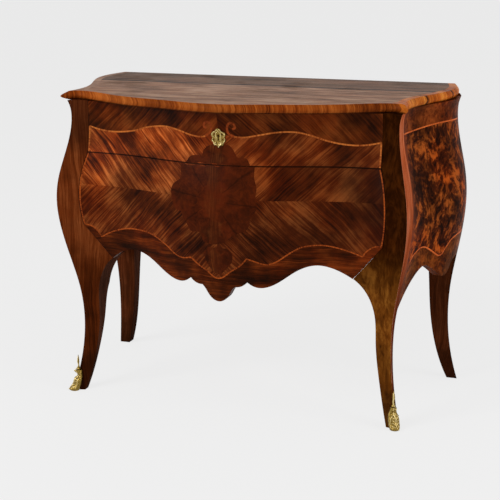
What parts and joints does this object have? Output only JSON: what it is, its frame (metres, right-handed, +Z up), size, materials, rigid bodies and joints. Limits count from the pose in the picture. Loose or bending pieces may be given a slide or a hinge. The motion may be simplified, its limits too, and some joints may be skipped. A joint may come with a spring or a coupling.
{
  "type": "bombe chest of drawers",
  "caption": "Bombe commode with a serpentine swelling front, veneered drawers that slide out, a scalloped apron, cabriole legs and gilt front feet.",
  "frame": {"origin": "on the floor, under the middle of the chest", "axes": "+Z up, the drawers face -Y, +X to the right seen from the front"},
  "size_m": [1.22, 0.6, 0.92],
  "materials": {
    "drawer_veneer": "french polished, diagonal figured veneer with stringing",
    "post_veneer": "french polished dark veneer",
    "side_veneer": "french polished burr veneer with stringing",
    "top_boards": "worn greyish brown boards",
    "edge_banding": "polished cross-banded edge",
    "inner_wood": "plain planed softwood",
    "gilt_brass": "aged gilding",
    "iron": "dark forged iron"
  },
  "bodies": {
    "carcase": {"front_left_post": "post_veneer", "front_right_post": "post_veneer", "rear_left_post": "post_veneer", "rear_right_post": "post_veneer", "left_side_panel": "side_veneer", "right_side_panel": "side_veneer", "top_front_board": "top_boards", "top_rear_board": "top_boards", "top_front_moulding": "edge_banding", "top_left_moulding": "edge_banding", "top_right_moulding": "edge_banding", "bottom_board": "inner_wood", "dust_board": "inner_wood", "upper_back_board": "inner_wood", "lower_back_board": "inner_wood", "upper_left_guide": "inner_wood", "upper_right_guide": "inner_wood", "lower_left_guide": "inner_wood", "lower_right_guide": "inner_wood", "upper_drawer_stops": "inner_wood", "lower_drawer_stops": "inner_wood", "top_dowels": "inner_wood", "front_left_sabot": "gilt_brass", "front_right_sabot": "gilt_brass", "sabot_pins": "gilt_brass", "back_nails": "iron"},
    "upper_drawer": {"upper_drawer_front": "drawer_veneer", "upper_drawer_left_side": "inner_wood", "upper_drawer_right_side": "inner_wood", "upper_drawer_back": "inner_wood", "upper_drawer_bottom": "inner_wood", "escutcheon": "gilt_brass", "escutcheon_pins": "gilt_brass", "lock_case": "iron", "lock_screws": "iron"},
    "lower_drawer": {"lower_drawer_front": "drawer_veneer", "lower_drawer_left_side": "inner_wood", "lower_drawer_right_side": "inner_wood", "lower_drawer_back": "inner_wood", "lower_drawer_bottom": "inner_wood"},
    "lock_bolt": {"lock_bolt": "iron"}
  },
  "joints": [
    {"name": "upper_drawer_slide", "type": "slide", "parent": "carcase", "child": "upper_drawer", "axis": [0, -1, 0], "range_m": [0, 0.33]},
    {"name": "lower_drawer_slide", "type": "slide", "parent": "carcase", "child": "lower_drawer", "axis": [0, -1, 0], "range_m": [0, 0.33]},
    {"name": "lock_bolt_slide", "type": "slide", "parent": "upper_drawer", "child": "lock_bolt", "axis": [0, 0, 1], "range_m": [0, 0.008]}
  ]
}
